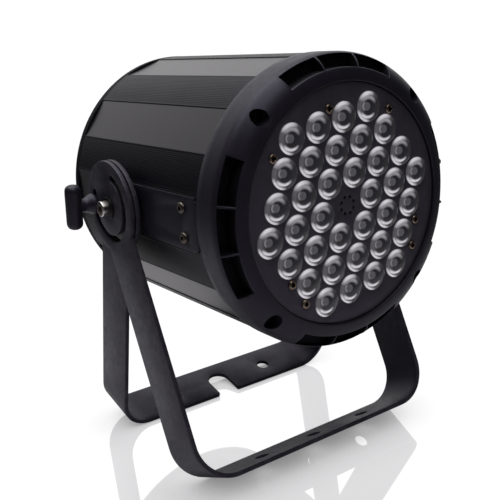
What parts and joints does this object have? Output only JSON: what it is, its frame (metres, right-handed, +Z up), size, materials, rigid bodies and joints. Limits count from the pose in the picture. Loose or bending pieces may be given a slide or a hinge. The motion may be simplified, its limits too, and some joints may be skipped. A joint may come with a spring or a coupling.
{
  "type": "par can light",
  "caption": "Round stage wash light with a ribbed black housing, a vented front bezel over a plate of small round lenses, and a double clamping yoke that also stands it on the floor.",
  "frame": {"origin": "middle of the bounding box of the light as it stands on its two yokes", "axes": "+X along the pivot axis to the right as seen from the front, +Y towards the rear of the can, +Z up; the light leaves towards -Y and slightly up"},
  "size_m": [0.3188, 0.2978, 0.3638],
  "materials": {
    "bezel_black": "satin black powder coat, fine texture",
    "anodised_black": "dark grey-brown coated aluminium, satin",
    "yoke_black": "matte black powder coat on steel",
    "black_plastic": "moulded, matte",
    "clear_lens": "clear optical acrylic",
    "copper_screw": "copper-coloured plated, satin",
    "bright_steel": "bright zinc-plated steel",
    "dark_steel": "dull dark plated or blackened steel",
    "raw_aluminium": "mill finish",
    "circuit_board": "green solder mask",
    "white_board": "white solder mask on aluminium",
    "display": "smoked window"
  },
  "bodies": {
    "can": {"front_bezel": "bezel_black", "face_plate": "bezel_black", "side_plate_left": "bezel_black", "side_plate_right": "bezel_black", "housing_extrusion": "anodised_black", "rear_cover": "black_plastic", "dmx_in_socket": "black_plastic", "dmx_out_socket": "black_plastic", "power_inlet": "black_plastic", "power_outlet": "black_plastic", "fan_frame": "black_plastic", "pivot_spacer_left": "black_plastic", "pivot_spacer_right": "black_plastic", "friction_washer_left": "black_plastic", "friction_washer_right": "black_plastic", "lens_array": "clear_lens", "face_screw_1": "copper_screw", "face_screw_2": "copper_screw", "face_screw_3": "copper_screw", "face_screw_4": "copper_screw", "face_screw_5": "copper_screw", "face_screw_6": "copper_screw", "face_screw_7": "copper_screw", "bezel_screw_1": "dark_steel", "bezel_screw_2": "dark_steel", "bezel_screw_3": "dark_steel", "bezel_screw_4": "dark_steel", "pivot_bolt_left": "bright_steel", "pivot_bolt_right": "bright_steel", "safety_eye": "bright_steel", "fan_guard": "bright_steel", "rear_screw_1": "dark_steel", "rear_screw_2": "dark_steel", "rear_screw_3": "dark_steel", "rear_screw_4": "dark_steel", "side_plate_screw_left_1": "dark_steel", "side_plate_screw_left_2": "dark_steel", "side_plate_screw_right_1": "dark_steel", "side_plate_screw_right_2": "dark_steel", "pivot_washer_left": "dark_steel", "pivot_washer_right": "dark_steel", "heat_sink": "raw_aluminium", "chassis_plate": "raw_aluminium", "power_supply": "raw_aluminium", "control_board": "circuit_board", "led_board": "white_board", "display_window": "display"},
    "outer_yoke": {"outer_yoke": "yoke_black"},
    "inner_yoke": {"inner_yoke": "yoke_black"},
    "clamp_stud_left": {"clamp_stud_left": "bright_steel"},
    "clamp_handle_left": {"clamp_handle_left": "black_plastic"},
    "clamp_stud_right": {"clamp_stud_right": "bright_steel"},
    "clamp_handle_right": {"clamp_handle_right": "black_plastic"},
    "fan_rotor": {"fan_rotor": "black_plastic"},
    "menu_button_1": {"menu_button_1": "black_plastic"},
    "menu_button_2": {"menu_button_2": "black_plastic"},
    "menu_button_3": {"menu_button_3": "black_plastic"},
    "menu_button_4": {"menu_button_4": "black_plastic"},
    "dmx_release_tab": {"dmx_release_tab": "bright_steel"},
    "fuse_cap": {"fuse_cap": "black_plastic"}
  },
  "joints": [
    {"name": "outer_yoke_tilt", "type": "hinge", "parent": "can", "child": "outer_yoke", "pos_m": [0, 0.02124, 0.05247], "axis": [1, 0, 0], "range_deg": [-22, 249]},
    {"name": "inner_yoke_tilt", "type": "hinge", "parent": "can", "child": "inner_yoke", "pos_m": [0, 0.02124, 0.05247], "axis": [1, 0, 0], "range_deg": [-60.5, 210.5]},
    {"name": "clamp_stud_left_travel", "type": "slide", "parent": "can", "child": "clamp_stud_left", "axis": [-1, 0, 0], "range_m": [0, 0.0012]},
    {"name": "clamp_handle_left_turn", "type": "hinge", "parent": "clamp_stud_left", "child": "clamp_handle_left", "pos_m": [-0.1522, 0.04928, 0.05061], "axis": [-1, 0, 0], "range_deg": [0, 540]},
    {"name": "clamp_stud_right_travel", "type": "slide", "parent": "can", "child": "clamp_stud_right", "axis": [1, 0, 0], "range_m": [0, 0.0012]},
    {"name": "clamp_handle_right_turn", "type": "hinge", "parent": "clamp_stud_right", "child": "clamp_handle_right", "pos_m": [0.1522, 0.04928, 0.05061], "axis": [1, 0, 0], "range_deg": [0, 540]},
    {"name": "fan_spin", "type": "hinge", "parent": "can", "child": "fan_rotor", "pos_m": [0, 0.10015, -0.00889], "axis": [0, 0.9978, -0.0663], "continuous": true},
    {"name": "menu_button_1_press", "type": "slide", "parent": "can", "child": "menu_button_1", "axis": [0, -0.9978, 0.0663], "range_m": [0, 0.001]},
    {"name": "menu_button_2_press", "type": "slide", "parent": "can", "child": "menu_button_2", "axis": [0, -0.9978, 0.0663], "range_m": [0, 0.001]},
    {"name": "menu_button_3_press", "type": "slide", "parent": "can", "child": "menu_button_3", "axis": [0, -0.9978, 0.0663], "range_m": [0, 0.001]},
    {"name": "menu_button_4_press", "type": "slide", "parent": "can", "child": "menu_button_4", "axis": [0, -0.9978, 0.0663], "range_m": [0, 0.001]},
    {"name": "release_tab_press", "type": "slide", "parent": "can", "child": "dmx_release_tab", "axis": [0, -0.9978, 0.0663], "range_m": [0, 0.0015]},
    {"name": "fuse_cap_turn", "type": "hinge", "parent": "can", "child": "fuse_cap", "pos_m": [0, 0.12408, 0.04965], "axis": [0, 0.9978, -0.0663], "range_deg": [0, 90]}
  ],
  "couplings": [
    {"joint": "clamp_handle_left_turn", "follows": "clamp_stud_left_travel", "rad_per_m": 7854},
    {"joint": "clamp_handle_right_turn", "follows": "clamp_stud_right_travel", "rad_per_m": 7854}
  ]
}
